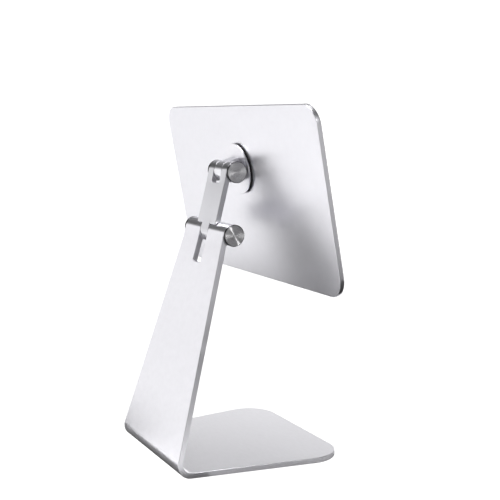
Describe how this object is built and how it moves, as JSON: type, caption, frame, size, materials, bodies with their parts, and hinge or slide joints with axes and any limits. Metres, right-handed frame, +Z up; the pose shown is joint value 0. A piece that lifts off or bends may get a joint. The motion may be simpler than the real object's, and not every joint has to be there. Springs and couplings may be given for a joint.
{
  "type": "magnetic tablet stand",
  "caption": "Desk stand for a tablet: a bent aluminium foot and neck, a swinging arm on friction hinges, and a magnetic plate that tilts and turns all the way round.",
  "frame": {"origin": "centre of the foot pad's underside, on the surface the stand rests on", "axes": "+Z up; the user sits at -Y and looks along +Y at the tablet; +X is the user's right and runs along both hinge axes"},
  "size_m": [0.2652, 0.1446, 0.2887],
  "materials": {
    "satin_aluminium": "bead blasted and clear anodised, satin",
    "spun_steel": "turned faces with fine concentric lines and a polished rim",
    "steel": "plain machined steel",
    "black_polymer": "moulded, matt",
    "silicone": "soft matt sheet",
    "magnet": "nickel plated"
  },
  "bodies": {
    "foot": {"base_and_neck": "satin_aluminium", "base_pad": "silicone", "lower_pin": "steel", "lower_nut": "steel", "lower_disc_spring_1": "steel", "lower_disc_spring_2": "steel", "lower_friction_washer_left": "black_polymer", "lower_friction_washer_right": "black_polymer", "lower_cap_left": "spun_steel", "lower_cap_right": "spun_steel"},
    "arm": {"arm": "satin_aluminium", "lower_bush": "black_polymer", "upper_pin": "steel", "upper_nut": "steel", "upper_disc_spring_1": "steel", "upper_disc_spring_2": "steel", "upper_friction_washer_left": "black_polymer", "upper_friction_washer_right": "black_polymer", "upper_cap_left": "spun_steel", "upper_cap_right": "spun_steel"},
    "bracket": {"tilt_bracket": "satin_aluminium", "upper_bush": "black_polymer", "turntable_gasket": "black_polymer", "retaining_disc": "steel", "retaining_screw_1": "steel", "retaining_screw_2": "steel", "retaining_screw_3": "steel", "retaining_screw_4": "steel"},
    "plate": {"plate_shell": "satin_aluminium", "plate_pad": "silicone", "slip_ring": "black_polymer", "magnet_01": "magnet", "magnet_02": "magnet", "magnet_03": "magnet", "magnet_04": "magnet", "magnet_05": "magnet", "magnet_06": "magnet", "magnet_07": "magnet", "magnet_08": "magnet", "magnet_09": "magnet", "magnet_10": "magnet", "magnet_11": "magnet", "magnet_12": "magnet"}
  },
  "joints": [
    {"name": "arm_swing", "type": "hinge", "parent": "foot", "child": "arm", "pos_m": [0, 0.01765, 0.18565], "axis": [1, 0, 0], "range_deg": [-30, 35]},
    {"name": "plate_tilt", "type": "hinge", "parent": "arm", "child": "bracket", "pos_m": [0, 0.00534, 0.23467], "axis": [1, 0, 0], "range_deg": [-80, 5]},
    {"name": "plate_turn", "type": "hinge", "parent": "bracket", "child": "plate", "pos_m": [0, -0.00644, 0.23697], "axis": [0, -0.9816, 0.1908], "continuous": true}
  ]
}
